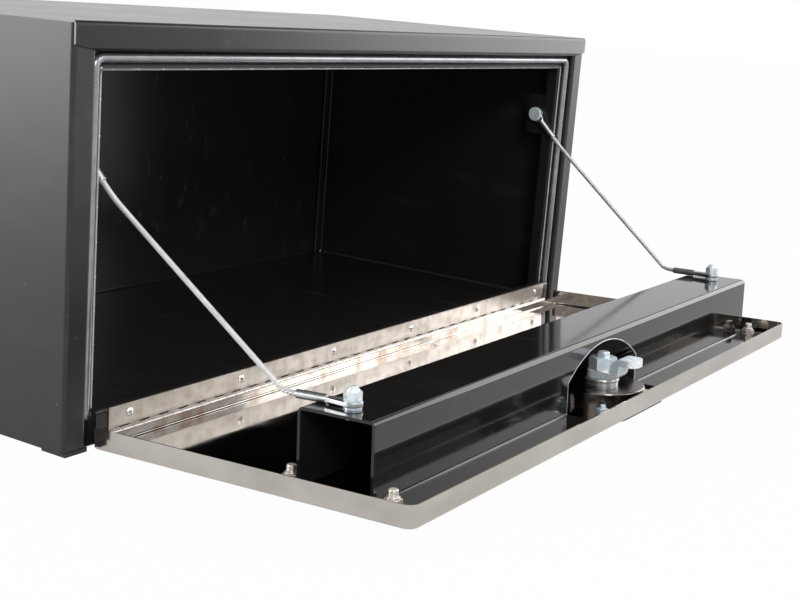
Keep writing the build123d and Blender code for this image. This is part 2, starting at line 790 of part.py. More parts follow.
save(door_pan, "door_pan", door_piece=True)


# The hinge leaf on the pan's near flange
with BuildPart() as hinge_door_leaf:
    door_block(
        (-HINGE_LENGTH / 2, HINGE_LENGTH / 2), (DOOR_NEAR - LEAF, DOOR_NEAR), (-DOOR_LEAF_DEPTH, 0)
    )
    knuckles(1, 0)
save(hinge_door_leaf, "hinge_door_leaf", door_piece=True)


# The lock channel, with an arch in its front wall for the latch
with BuildPart() as lock_channel:
    with BuildSketch(door_section(CHANNEL_HALF)):
        folded_sheet(
            [
                (CHANNEL_FAR + CHANNEL_FOOT, CHANNEL_FOOT_TOP),
                (CHANNEL_FAR, CHANNEL_FOOT_TOP),
                (CHANNEL_FAR, CHANNEL_TOP),
                (CHANNEL_NEAR, CHANNEL_TOP),
                (CHANNEL_NEAR, CHANNEL_FOOT_TOP),
                (CHANNEL_NEAR - CHANNEL_FOOT, CHANNEL_FOOT_TOP),
            ],
            CHANNEL_SHEET,
            CHANNEL_BEND,
        )
    extrude(amount=CHANNEL_LENGTH)
    arch_inner_face = CHANNEL_FAR - CHANNEL_SHEET - LATCH_OUT
    with BuildSketch(latch_section(arch_inner_face - CHANNEL_BEND)):
        with BuildLine():
            shoulder = DOOR_FLOOR + ARCH_SIDE
            crown = shoulder + ARCH_RADIUS - sqrt(ARCH_RADIUS**2 - ARCH_HALF**2)
            Polyline(
                (-ARCH_HALF, shoulder),
                (-ARCH_HALF, DOOR_FLOOR),
                (ARCH_HALF, DOOR_FLOOR),
                (ARCH_HALF, shoulder),
            )
            ThreePointArc((-ARCH_HALF, shoulder), (0, crown), (ARCH_HALF, shoulder))
        make_face()
    extrude(amount=CHANNEL_SHEET + CHANNEL_BEND + CHANNEL_FOOT + CHANNEL_SHEET, mode=Mode.SUBTRACT)
    with BuildSketch(level(DOOR_FLOOR)):
        with Locations(*spots(CHANNEL_STUDS)):
            Circle(M8 + HOLE_PLAY)
    extrude(amount=CHANNEL_SHEET, mode=Mode.SUBTRACT)
    with BuildSketch(level(CHANNEL_TOP - CHANNEL_SHEET)):
        with Locations(*spots([(-LOWER_X, LOWER_OUT), (LOWER_X, LOWER_OUT)])):
            Circle(M8 + HOLE_PLAY)
    extrude(amount=CHANNEL_SHEET, mode=Mode.SUBTRACT)
save(lock_channel, "lock_channel", door_piece=True)


def on_door(piece, places, up):
    """A group of one fastener at places of the door, all at one height."""
    return grouped(piece, [door_point(x, out, up) for x, out in places])


# The channel is bolted to studs that are welded to the pan
stud_length = CHANNEL_SHEET + M8_NUT_HEIGHT + NYLON_COLLAR + STUD_END
save(on_door(stud(M8, stud_length), CHANNEL_STUDS, DOOR_FLOOR), "channel_studs", door_piece=True)
save(on_door(M8_LOCK_NUT, CHANNEL_STUDS, CHANNEL_FOOT_TOP), "channel_nuts", door_piece=True)


# The bolts for the cables' lower ends stand up through the top of the channel
LOWER_BOLTS = [(-LOWER_X, LOWER_OUT), (LOWER_X, LOWER_OUT)]
lower_under = CHANNEL_TOP - CHANNEL_SHEET
lower_length = LOWER_NUT_UP + M8_NUT_HEIGHT + NYLON_COLLAR + BOLT_END / 2 - lower_under
with BuildPart() as lower_bolt:
    with BuildSketch(Plane.XY.offset(-BOLT_HEAD)):
        RegularPolygon(M8_FLATS / 2, 6, major_radius=False)
    extrude(amount=BOLT_HEAD)
    with BuildSketch():
        Circle(M8)
    extrude(amount=lower_length)
    chamfer(edges().group_by(Axis.Z)[-1], M8 / 5)
save(on_door(lower_bolt.part, LOWER_BOLTS, lower_under), "lower_bolts", door_piece=True)
under_washers = on_door(washer(SPACER_RADIUS, LOWER_SPACER, M8), LOWER_BOLTS, CHANNEL_TOP)
over_washers = on_door(
    washer(SPACER_RADIUS, LOWER_WASHER, M8), LOWER_BOLTS, LOWER_NUT_UP - LOWER_WASHER
)
with BuildPart() as lower_washers:
    add(under_washers.part)
    add(over_washers.part)
save(lower_washers, "lower_washers", door_piece=True)
save(on_door(M8_LOCK_NUT, LOWER_BOLTS, LOWER_NUT_UP), "lower_lock_nuts", door_piece=True)


def flange_outline(inset=0.0):
    """The rounded outline of the latch's flange and gasket."""
    wide, deep = FLANGE_SIZE
    RectangleRounded(wide - 2 * inset, deep - 2 * inset, FLANGE_CORNER - inset)


# The latch dish: a round cup with a flange outside the door
with BuildPart() as latch_dish:
    with BuildSketch(latch_section()):
        folded_sheet(
            [
                (DISH_OUTER + DISH_ROUND + DISH_SHEET, FLANGE_TOP),
                (DISH_OUTER, FLANGE_TOP),
                (DISH_OUTER, DISH_TOP),
                (SHAFT_RADIUS + HOLE_PLAY, DISH_TOP),
            ],
            DISH_SHEET,
            DISH_ROUND - DISH_SHEET,
        )
    revolve(axis=LATCH_AXIS)
    with BuildSketch(level(DISH_FACE, out=LATCH_OUT)):
        flange_outline()
        Circle(DISH_OUTER + DISH_ROUND, mode=Mode.SUBTRACT)
    extrude(amount=DISH_SHEET)
save(latch_dish, "latch_dish", door_piece=True)


# The gasket between the dish and the door
with BuildPart() as latch_gasket:
    with BuildSketch(level(FLANGE_TOP, out=LATCH_OUT)):
        flange_outline(GASKET_INSET)
        Circle(DISH_OUTER + DISH_ROUND, mode=Mode.SUBTRACT)
    extrude(amount=GASKET)
    with BuildSketch(level(FLANGE_TOP)):
        with Locations(*spots(DISH_STUDS)):
            Circle(M6 + HOLE_PLAY)
    extrude(amount=GASKET, mode=Mode.SUBTRACT)
save(latch_gasket, "latch_gasket", door_piece=True)


# Studs on the dish's flange, and their nuts inside the door
dish_stud_length = GASKET + DOOR_SHEET + M6_NUT_HEIGHT + BOLT_END
save(on_door(stud(M6, dish_stud_length), DISH_STUDS, FLANGE_TOP), "dish_studs", door_piece=True)
save(on_door(M6_NUT, DISH_STUDS, DOOR_FLOOR), "dish_nuts", door_piece=True)


# The housing on the cup, with a collar on it, in which the latch's shaft turns
with BuildPart() as latch_housing:
    with BuildSketch(level(DISH_TOP, out=LATCH_OUT)):
        Circle(HOUSING_RADIUS)
        Circle(SHAFT_RADIUS + SHAFT_CLEARANCE, mode=Mode.SUBTRACT)
    extrude(amount=HOUSING_HEIGHT)
save(latch_housing, "latch_housing", door_piece=True)
with BuildPart() as housing_collar:
    with BuildSketch(level(HOUSING_TOP, out=LATCH_OUT)):
        Circle(COLLAR_RADIUS)
    extrude(amount=COLLAR)
    fillet(edges(), COLLAR_ROUND)
    with BuildSketch(level(HOUSING_TOP, out=LATCH_OUT)):
        Circle(SHAFT_RADIUS + HOLE_PLAY)
    extrude(amount=COLLAR, mode=Mode.SUBTRACT)
save(housing_collar, "housing_collar", door_piece=True)


# The latch's shaft, with flats for the cam and a yoke for the handle
with BuildPart() as latch_shaft:
    with BuildSketch(level(-YOKE_DEPTH, out=LATCH_OUT)):
        Circle(YOKE_RADIUS)
    extrude(amount=DISH_CEILING - RUN_GAP + YOKE_DEPTH)
    with BuildSketch(level(0, out=LATCH_OUT)):
        Circle(SHAFT_RADIUS)
    extrude(amount=SHAFT_TOP)
    chamfer(edges().group_by(Axis.Z)[-1], 1)
    for side in (-1, 1):
        door_block(
            (side * SHAFT_FLAT, side * WIDTH),
            (LATCH_OUT - YOKE_RADIUS, LATCH_OUT + YOKE_RADIUS),
            (COLLAR_TOP, SHAFT_TOP),
            mode=Mode.SUBTRACT,
        )
    door_block(
        (-YOKE_SLOT, YOKE_SLOT),
        (LATCH_OUT - 2 * YOKE_RADIUS, LATCH_OUT + 2 * YOKE_RADIUS),
        (-2 * YOKE_DEPTH, YOKE_SLOT_TOP),
        mode=Mode.SUBTRACT,
    )
    with Locations(door_point(0, LATCH_OUT, 0)):
        Cylinder(
            HANDLE_PIN_RADIUS + HANDLE_PIN_CLEARANCE,
            4 * YOKE_RADIUS,
            rotation=(0, 90, 0),
            mode=Mode.SUBTRACT,
        )
save(latch_shaft, "latch_shaft", door_piece=True)


# The cam, a stepped strap that turns behind the upper lip
with BuildPart() as latch_cam:
    with BuildSketch(door_section(CAM_WIDE / 2)):
        folded_sheet(
            [
                (LATCH_OUT - CAM_HUB, CAM_UNDER),
                (LATCH_OUT + CAM_RISER, CAM_UNDER),
                (LATCH_OUT + CAM_RISER, CAM_UNDER + CAM_STEP),
                (LATCH_OUT + CAM_REACH, CAM_UNDER + CAM_STEP),
            ],
            CAM_SHEET,
            CAM_BEND,
        )
    extrude(amount=CAM_WIDE)
    hub_corners = edges().filter_by(Axis.Z).group_by(Axis.Y)[-1]
    fillet(hub_corners, CAM_WIDE / 3)
    tip_corners = edges().filter_by(Axis.Z).group_by(Axis.Y)[0]
    fillet(tip_corners, CAM_WIDE / 2.5)
    with BuildSketch(level(CAM_UNDER, out=LATCH_OUT)):
        Circle(SHAFT_RADIUS + THREAD_PLAY)
        Rectangle(2 * (SHAFT_FLAT + THREAD_PLAY), 4 * SHAFT_RADIUS, mode=Mode.INTERSECT)
    extrude(amount=CAM_SHEET, mode=Mode.SUBTRACT)
save(latch_cam, "latch_cam", door_piece=True)
cam_nut = on_door(
    bolt_nut(CAM_NUT_FLATS, CAM_NUT_HEIGHT, SHAFT_RADIUS), [(0, LATCH_OUT)], CAM_UNDER + CAM_SHEET
)
save(cam_nut, "cam_nut", door_piece=True)


# The folding T-handle
boss_out = LATCH_OUT - BOSS_OUT
with BuildPart() as t_handle:
    door_block(
        (-GRIP_HALF, GRIP_HALF),
        (LATCH_OUT - GRIP_FAR, LATCH_OUT - GRIP_NEAR),
        (-STEM_ROUND, STEM_ROUND),
    )
    fillet(edges(), GRIP_ROUND)
    door_block(
        (-STEM_HALF, STEM_HALF),
        (LATCH_OUT - GRIP_NEAR - GRIP_ROUND, LATCH_OUT),
        (-STEM_ROUND, STEM_ROUND),
    )
    with Locations(door_point(0, LATCH_OUT, 0)):
        Cylinder(STEM_ROUND, 2 * STEM_HALF, rotation=(0, 90, 0))
    with BuildSketch(level(-BOSS_FACE, out=boss_out)):
        Circle(BOSS_RADIUS)
    extrude(amount=BOSS_FACE + STEM_ROUND)
    with BuildSketch(level(-BOSS_FACE, out=boss_out)):
        Circle(PLUG_RADIUS + PLUG_CLEARANCE)
    extrude(amount=BORE_DEPTH, mode=Mode.SUBTRACT)
    with Locations(door_point(0, LATCH_OUT, 0)):
        Cylinder(
            HANDLE_PIN_RADIUS + THREAD_PLAY,
            4 * STEM_HALF,
            rotation=(0, 90, 0),
            mode=Mode.SUBTRACT,
        )
save(t_handle, "t_handle", door_piece=True)


# The pin that the handle folds about
with BuildPart() as handle_pin:
    with Locations(door_point(0, LATCH_OUT, 0)):
        Cylinder(HANDLE_PIN_RADIUS, 2 * YOKE_RADIUS, rotation=(0, 90, 0))
save(handle_pin, "handle_pin", door_piece=True)


# The key plug in the handle, with its key slot
with BuildPart() as key_plug:
    with BuildSketch(level(-BOSS_FACE - PLUG_PROUD, out=boss_out)):
        Circle(PLUG_RADIUS)
    extrude(amount=PLUG_DEPTH)
    slot_wide, slot_long, slot_deep = KEY_SLOT
    with BuildSketch(level(-BOSS_FACE - PLUG_PROUD, out=boss_out)):
        Rectangle(slot_wide, slot_long)
    extrude(amount=slot_deep, mode=Mode.SUBTRACT)
save(key_plug, "key_plug", door_piece=True)
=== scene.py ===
"""Looks of the underbody truck tool box: finishes, cables, seal, studio and camera."""

import logging
from dataclasses import dataclass, field
from enum import Enum
from math import cos, pi, radians, sin
from typing import Union

import bmesh
import bpy
from mathutils import Matrix, Vector


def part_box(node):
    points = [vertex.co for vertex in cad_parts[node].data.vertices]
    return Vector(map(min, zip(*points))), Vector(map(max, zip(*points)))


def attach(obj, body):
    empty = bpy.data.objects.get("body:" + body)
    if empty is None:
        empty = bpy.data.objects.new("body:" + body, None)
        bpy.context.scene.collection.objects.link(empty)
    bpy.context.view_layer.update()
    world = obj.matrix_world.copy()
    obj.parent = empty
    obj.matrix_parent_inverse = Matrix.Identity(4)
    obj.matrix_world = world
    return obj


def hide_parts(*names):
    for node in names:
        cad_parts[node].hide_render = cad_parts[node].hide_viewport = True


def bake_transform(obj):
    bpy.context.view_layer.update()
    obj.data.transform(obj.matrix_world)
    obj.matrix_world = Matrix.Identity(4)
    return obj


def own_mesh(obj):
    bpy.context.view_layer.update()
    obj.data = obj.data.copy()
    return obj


LOG = logging.getLogger("tool_box")
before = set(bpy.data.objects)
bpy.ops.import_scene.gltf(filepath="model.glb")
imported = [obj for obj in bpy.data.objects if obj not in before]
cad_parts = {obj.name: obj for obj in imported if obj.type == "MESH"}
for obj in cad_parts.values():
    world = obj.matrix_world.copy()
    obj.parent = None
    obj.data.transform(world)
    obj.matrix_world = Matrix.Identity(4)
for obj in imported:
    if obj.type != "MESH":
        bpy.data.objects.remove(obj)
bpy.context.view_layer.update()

Colour = tuple[float, float, float]
Point = tuple[float, float, float]
Band = tuple[float, float]
Value = Union[float, tuple, "Wire"]


class Wire:
    """A number that flows between shader nodes; Python arithmetic on it adds Math nodes."""

    def __init__(self, sheet: "NodeSheet", socket: bpy.types.NodeSocket) -> None:
        """Wrap a socket.

        Args:
            sheet: The node sheet that the socket belongs to.
            socket: The output socket that carries the value.
        """
        self.sheet = sheet
        self.socket = socket

    def _math(self, operation: str, first: Value, second: Value = 0.0) -> "Wire":
        """Add one Math node.

        Args:
            operation: The Math node's operation.
            first: The first operand.
            second: The second operand, where there is one.

        Returns:
            The result.
        """
        return self.sheet.node("ShaderNodeMath", {"operation": operation}, {0: first, 1: second})

    def __add__(self, other: Value) -> "Wire":
        """Sum."""
        return self._math("ADD", self, other)

    def __radd__(self, other: Value) -> "Wire":
        """Sum, from the right."""
        return self._math("ADD", other, self)

    def __sub__(self, other: Value) -> "Wire":
        """Difference."""
        return self._math("SUBTRACT", self, other)

    def __rsub__(self, other: Value) -> "Wire":
        """Difference, from the right."""
        return self._math("SUBTRACT", other, self)

    def __mul__(self, other: Value) -> "Wire":
        """Product."""
        return self._math("MULTIPLY", self, other)

    def __rmul__(self, other: Value) -> "Wire":
        """Product, from the right."""
        return self._math("MULTIPLY", other, self)

    def sine(self) -> "Wire":
        """Sine of the value, in radians."""
        return self._math("SINE", self)

    def ramp(self, low: float, high: float) -> "Wire":
        """The value spread so that low becomes 0 and high becomes 1, held at both ends.

        Args:
            low: The value that becomes 0.
            high: The value that becomes 1.

        Returns:
            The spread value.
        """
        return self.sheet.node(
            "ShaderNodeMapRange", {"clamp": True}, {0: self, 1: low, 2: high, 3: 0.0, 4: 1.0}
        )


class NodeSheet:
    """The nodes of one material or world, with one surface shader at the end."""

    def __init__(self, owner: Union[bpy.types.Material, bpy.types.World], output: str) -> None:
        """Start an empty sheet.

        Args:
            owner: The material or world that the nodes belong to.
            output: The type of its output node.
        """
        owner.use_nodes = True
        self.owner = owner
        self.tree = owner.node_tree
        self.tree.nodes.clear()
        self.output = self.tree.nodes.new(output)

    @classmethod
    def of_material(cls, name: str) -> "NodeSheet":
        """An empty sheet for a new material with this name."""
        return cls(bpy.data.materials.new(name), "ShaderNodeOutputMaterial")

    def end(self, shader: Wire) -> None:
        """Join a shader to the output."""
        self.tree.links.new(shader.socket, self.output.inputs["Surface"])

    def node(
        self,
        kind: str,
        settings: dict[str, object] | None = None,
        inputs: dict[Union[int, str], Value] | None = None,
        out: Union[int, str] = 0,
    ) -> Wire:
        """Add any node.

        Args:
            kind: The node's type.
            settings: The node's own settings, which are set first.
            inputs: Values or wires for its sockets, by index or name.
            out: The output that is wanted.

        Returns:
            The wanted output.
        """
        made = self.tree.nodes.new(kind)
        for key, value in (settings or {}).items():
            setattr(made, key, value)
        for key, value in (inputs or {}).items():
            if isinstance(value, Wire):
                self.tree.links.new(value.socket, made.inputs[key])
            else:
                made.inputs[key].default_value = value
        return Wire(self, made.outputs[out])

    def place(self, stretch: Point = (1.0, 1.0, 1.0)) -> Wire:
        """The point on the piece in metres, stretched along each axis.

        Args:
            stretch: Scale along each axis; a small number draws a pattern out.

        Returns:
            The point as a vector.
        """
        spot = self.node("ShaderNodeTexCoord", out="Object")
        return self.node("ShaderNodeMapping", inputs={"Vector": spot, "Scale": stretch})

    def along(self, axis: int, kind: str = "Object") -> Wire:
        """The point's place along one axis, in metres; in a world, the direction's share."""
        spot = self.node("ShaderNodeTexCoord", out=kind)
        return self.node("ShaderNodeSeparateXYZ", inputs={0: spot}, out=axis)

    def noise(self, scale: float, detail: float = 3.0, stretch: Point = (1.0, 1.0, 1.0)) -> Wire:
        """Soft noise from 0 to 1 over the piece.

        Args:
            scale: Blotches in a metre.
            detail: How many finer layers it has.
            stretch: Scale along each axis.

        Returns:
            The noise.
        """
        spot = self.place(stretch)
        return self.node("ShaderNodeTexNoise", inputs={"Vector": spot, "Scale": scale, "Detail": detail})

    def specks(self, scale: float, size: float, core: float = 0.6) -> Wire:
        """1 inside small scattered specks and 0 elsewhere.

        Args:
            scale: Specks in a metre.
            size: Radius of a speck as a share of their spacing.
            core: Share of that radius that is whole; the rest fades out.

        Returns:
            The mask.
        """
        distance = self.node("ShaderNodeTexVoronoi", inputs={"Vector": self.place(), "Scale": scale})
        return 1.0 - distance.ramp(size * core, size)

    def tint(self, mask: Value, first: Union[Colour, Wire], second: Union[Colour, Wire]) -> Wire:
        """A colour between two, by a mask.

        Args:
            mask: 0 for the first colour and 1 for the second.
            first: The first colour.
            second: The second colour.

        Returns:
            The colour.
        """
        shades = [shade if isinstance(shade, Wire) else (*shade, 1.0) for shade in (first, second)]
        inputs = {0: mask, 6: shades[0], 7: shades[1]}
        return self.node("ShaderNodeMix", {"data_type": "RGBA"}, inputs, out=2)

    def bump(self, height: Value, strength: float, distance: float) -> Wire:
        """A surface normal from a height.

        Args:
            height: The height, from 0 to 1.
            strength: How strongly it shows.
            distance: The height of 1, in metres.

        Returns:
            The normal.
        """
        inputs = {"Strength": strength, "Distance": distance, "Height": height}
        return self.node("ShaderNodeBump", inputs=inputs)

    def surface(self, **sockets: Value) -> bpy.types.Material:
        """End with a Principled shader.

        Args:
            **sockets: Its values, with underscores for the spaces of their names.

        Returns:
            The material.
        """
        named = {key.replace("_", " "): value for key, value in sockets.items()}
        self.end(self.node("ShaderNodeBsdfPrincipled", inputs=named))
        return self.owner


@dataclass(frozen=True)
class PowderCoat:
    """Black powder coat over sheet steel, with orange peel, faint scuffs and dust specks."""

    name: str
    shade: Colour = (0.0125, 0.0115, 0.011)
    dust: Colour = (0.30, 0.29, 0.28)
    roughness: float = 0.19
    haze: float = 0.07
    wear: float = 1.0
    peel: float = 0.10
    peel_scale: float = 900.0
    peel_share: float = 0.6
    haze_scale: float = 9.0
    haze_share: float = 0.4
    lift: float = 0.00012
    scuff_scale: float = 60.0
    scuff_draw: Point = (1.0, 0.12, 0.5)
    scuff_band: Band = (0.60, 0.74)
    scuff_tint: float = 0.05
    scuff_dull: float = 0.05
    speck_scale: float = 60.0
    speck_size: float = 0.045
    speck_tint: float = 0.9
    drift_scale: float = 6.0
    drift_band: Band = (0.54, 0.60)

    def material(self) -> bpy.types.Material:
        """Make the finish."""
        sheet = NodeSheet.of_material(self.name)
        peel = sheet.noise(self.peel_scale, 1.0)
        haze = sheet.noise(self.haze_scale, 4.0)
        scuff = sheet.noise(self.scuff_scale, 5.0, self.scuff_draw).ramp(*self.scuff_band)
        drift = sheet.noise(self.drift_scale).ramp(*self.drift_band)
        specks = sheet.specks(self.speck_scale, self.speck_size) * drift
        worn = (scuff * self.scuff_tint + specks * self.speck_tint) * self.wear
        height = peel * self.peel_share + haze * self.haze_share
        return sheet.surface(
            Base_Color=sheet.tint(worn, self.shade, self.dust),
            Roughness=self.roughness + haze * self.haze + scuff * (self.scuff_dull * self.wear),
            Normal=sheet.bump(height, self.peel, self.lift),
        )


class Grain(Enum):
    """Which way a brushed metal's grain runs."""

    ALONG_X = (0.03, 1.0, 1.0)
    NONE = (1.0, 1.0, 1.0)


@dataclass(frozen=True)
class BrightMetal:
    """Bare or plated bright metal with a grain, stains and, on threads, a screw's ridges."""

    name: str
    light: Colour
    dark: Colour
    roughness: float
    grain: Grain = Grain.NONE
    stain: float = 0.35
    metal: float = 1.0
    thread_pitch: float = 0.0
    thread_axis: int = 2
    thread_depth: float = 0.6
    streak_scale: float = 700.0
    streak_tint: float = 0.15
    streak_dull: float = 0.10
    streak_depth: float = 0.00006
    stain_scale: float = 70.0
    stain_band: Band = (0.42, 0.68)
    stain_dull: float = 0.06
    relief: float = 0.35

    def material(self) -> bpy.types.Material:
        """Make the finish."""
        sheet = NodeSheet.of_material(self.name)
        streaks = sheet.noise(self.streak_scale, 2.0, self.grain.value)
        blotch = sheet.noise(self.stain_scale, 4.0).ramp(*self.stain_band)
        stained = blotch * self.stain + streaks * self.streak_tint
        height = streaks
        depth = self.streak_depth
        if self.thread_pitch:
            turns = sheet.along(self.thread_axis) * (2 * pi / self.thread_pitch)
            height = turns.sine() * 0.5 + 0.5
            depth = self.thread_pitch * self.thread_depth
        return sheet.surface(
            Base_Color=sheet.tint(stained, self.light, self.dark),
            Metallic=self.metal,
            Roughness=self.roughness + streaks * self.streak_dull + blotch * self.stain_dull,
            Normal=sheet.bump(height, self.relief, depth),
        )


@dataclass(frozen=True)
class MirrorSteel:
    """Polished stainless sheet with warm patches, hairlines, finger haze and a faint wave."""

    name: str = "mirror_stainless"
    colour: Colour = (0.58, 0.55, 0.51)
    patch: Colour = (0.40, 0.37, 0.34)
    smudge: Colour = (0.44, 0.41, 0.38)
    scorch: Colour = (0.30, 0.19, 0.12)
    scorch_from: float = -0.056
    scorch_to: float = -0.050
    scorch_scale: float = 60.0
    scorch_band: Band = (0.48, 0.7)
    scorch_tint: float = 0.7
    patch_scale: float = 16.0
    patch_draw: Point = (0.45, 1.0, 1.6)
    patch_band: Band = (0.40, 0.66)
    patch_tint: float = 0.6
    haze_scale: float = 22.0
    haze_band: Band = (0.48, 0.72)
    haze_tint: float = 0.35
    haze_dull: float = 0.07
    hair_scale: float = 500.0
    hair_draw: Point = (0.04, 1.0, 1.0)
    hair_dull: float = 0.03
    hair_share: float = 0.03
    wave_scale: float = 7.0
    wave_share: float = 0.9
    wave_lift: float = 0.0016
    roughness: float = 0.03
    relief: float = 0.3

    def material(self) -> bpy.types.Material:
        """Make the finish."""
        sheet = NodeSheet.of_material(self.name)
        wave = sheet.noise(self.wave_scale, 1.0)
        hairs = sheet.noise(self.hair_scale, 2.0, self.hair_draw)
        haze = sheet.noise(self.haze_scale, 5.0).ramp(*self.haze_band)
        patches = sheet.noise(self.patch_scale, 3.0, self.patch_draw).ramp(*self.patch_band)
        edge = sheet.along(1).ramp(self.scorch_from, self.scorch_to)
        heat = edge * sheet.noise(self.scorch_scale).ramp(*self.scorch_band)
        plain = sheet.tint(patches * self.patch_tint, self.colour, self.patch)
        touched = sheet.tint(haze * self.haze_tint, plain, self.smudge)
        height = wave * self.wave_share + hairs * self.hair_share
        return sheet.surface(
            Base_Color=sheet.tint(heat * self.scorch_tint, touched, self.scorch),
            Metallic=1.0,
            Roughness=self.roughness + haze * self.haze_dull + hairs * self.hair_dull,
            Normal=sheet.bump(height, self.relief, self.wave_lift),
        )


@dataclass(frozen=True)
class Rubber:
    """Moulded rubber with a fine grain and pale bloom."""

    name: str
    colour: Colour
    bloom: Colour
    roughness: float = 0.5
    bloom_scale: float = 120.0
    bloom_band: Band = (0.4, 0.75)
    bloom_tint: float = 0.6
    bloom_dull: float = 0.15
    grain_scale: float = 1400.0
    grain_depth: float = 0.0001
    relief: float = 0.2

    def material(self) -> bpy.types.Material:
        """Make the finish."""
        sheet = NodeSheet.of_material(self.name)
        bloom = sheet.noise(self.bloom_scale, 4.0).ramp(*self.bloom_band)
        grain = sheet.noise(self.grain_scale, 1.0)
        return sheet.surface(
            Base_Color=sheet.tint(bloom * self.bloom_tint, self.colour, self.bloom),
            Roughness=self.roughness + bloom * self.bloom_dull,
            Normal=sheet.bump(grain, self.relief, self.grain_depth),
        )


ZINC_LIGHT: Colour = (0.88, 0.92, 0.95)
ZINC_DARK: Colour = (0.34, 0.48, 0.60)
NICKEL_LIGHT: Colour = (0.80, 0.74, 0.68)
NICKEL_DARK: Colour = (0.42, 0.36, 0.31)


@dataclass(frozen=True)
class Palette:
    """Every finish of the tool box."""

    box_coat: PowderCoat = PowderCoat("box_powder_coat")
    panel_coat: PowderCoat = PowderCoat("panel_powder_coat", roughness=0.36, haze=0.05, wear=0.7)
    channel_coat: PowderCoat = PowderCoat(
        "channel_powder_coat", roughness=0.06, haze=0.03, wear=0.6, peel=0.05
    )
    bracket_coat: PowderCoat = PowderCoat("bracket_powder_coat", roughness=0.34)
    # Pale rod colour along the channel's arch edge: a painted highlight for the light caught by the
    # rounded painted edge.
    painted_edge_highlight: BrightMetal = BrightMetal(
        "painted_edge_highlight", (0.72, 0.72, 0.76), (0.34, 0.34, 0.37), 0.3, stain=0.8, metal=0.4
    )
    # Lighter coat on the rods round the channel's open ends: a painted highlight for light on the sheet's
    # edges.
    painted_end_highlight: PowderCoat = PowderCoat("worn_edge_coat", (0.10, 0.098, 0.10), (0.22, 0.22, 0.22), 0.3)
    # Weld bead coat: real bead shape, but lighter than the box coat as a painted highlight for the glints
    # along the inside corners.
    weld_bead_highlight_coat: PowderCoat = PowderCoat("weld_bead_highlight_coat", (0.045, 0.043, 0.042), (0.14, 0.14, 0.14), 0.28)
    mirror: MirrorSteel = MirrorSteel()
    hinge: BrightMetal = BrightMetal(
        "hinge_stainless", (0.66, 0.62, 0.58), (0.36, 0.31, 0.27), 0.26, Grain.ALONG_X, 0.5
    )
    rivet: BrightMetal = BrightMetal("rivet_stainless", (0.74, 0.73, 0.72), (0.42, 0.42, 0.44), 0.25)
    zinc: BrightMetal = BrightMetal("bright_zinc", ZINC_LIGHT, ZINC_DARK, 0.22, stain=0.6, metal=0.4)
    threads: BrightMetal = BrightMetal(
        "zinc_threads", ZINC_LIGHT, ZINC_DARK, 0.26, stain=0.5, metal=0.4, thread_pitch=0.00125
    )
    nickel: BrightMetal = BrightMetal("warm_nickel", NICKEL_LIGHT, NICKEL_DARK, 0.24, stain=0.6, metal=0.6)
    nickel_threads: BrightMetal = BrightMetal(
        "nickel_threads", NICKEL_LIGHT, NICKEL_DARK, 0.28, stain=0.5, metal=0.6, thread_pitch=0.00125
    )
    cross_threads: BrightMetal = BrightMetal(
        "zinc_cross_threads", ZINC_LIGHT, ZINC_DARK, 0.3, metal=0.3, thread_pitch=0.00125, thread_axis=0
    )
    cam: BrightMetal = BrightMetal(
        "cam_bright_zinc", (0.90, 0.93, 0.95), (0.50, 0.66, 0.78), 0.22, stain=0.7, metal=0.4
    )
    housing: BrightMetal = BrightMetal(
        "latch_housing_zinc", (0.66, 0.67, 0.66), (0.30, 0.30, 0.30), 0.16, metal=0.8
    )
    dish: BrightMetal = BrightMetal(
        "dish_dark_chrome", (0.22, 0.20, 0.185), (0.09, 0.08, 0.075), 0.12, stain=0.5
    )
    handle: BrightMetal = BrightMetal(
        "handle_mirror_chrome", (0.78, 0.78, 0.79), (0.6, 0.6, 0.62), 0.07, stain=0.2
    )
    brass: BrightMetal = BrightMetal("plug_brass", (0.72, 0.60, 0.34), (0.45, 0.36, 0.18), 0.25)
    wire: BrightMetal = BrightMetal(
        "stranded_wire", (0.62, 0.62, 0.61), (0.36, 0.36, 0.36), 0.36, metal=0.45
    )
    sleeve: BrightMetal = BrightMetal("crimp_sleeve", (0.56, 0.58, 0.57), (0.32, 0.34, 0.34), 0.3)
    seal: BrightMetal = BrightMetal(
        "bulb_rubber", (0.34, 0.34, 0.36), (0.20, 0.20, 0.215), 0.16, stain=0.5, metal=0.7
    )
    # Pale rubber for the rod on the seal trim's inner edge: a painted highlight standing in for the
    # highlight on the lip's bend.
    bead: Rubber = Rubber("pale_rubber_highlight", (0.40, 0.39, 0.39), (0.55, 0.54, 0.54), 0.3)
    dark_rubber: Rubber = Rubber("dark_rubber", (0.014, 0.014, 0.015), (0.04, 0.04, 0.042), 0.6)
    clip: BrightMetal = BrightMetal("clip_steel", (0.82, 0.82, 0.83), (0.6, 0.6, 0.6), 0.25)


Finish = Union[PowderCoat, BrightMetal, MirrorSteel, Rubber]


def coat_of(finish: Finish) -> bpy.types.Material:
    """The finish's material, which is made once."""
    return bpy.data.materials.get(finish.name) or finish.material()


def dress(finish: Finish, *nodes: str) -> None:
    """Give CAD nodes a finish.

    Args:
        finish: The finish.
        *nodes: Names of the nodes.
    """
    material = coat_of(finish)
    for name in nodes:
        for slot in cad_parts[name].material_slots:
            slot.material = material
        LOG.info("dressed %s in %s", name, finish.name)


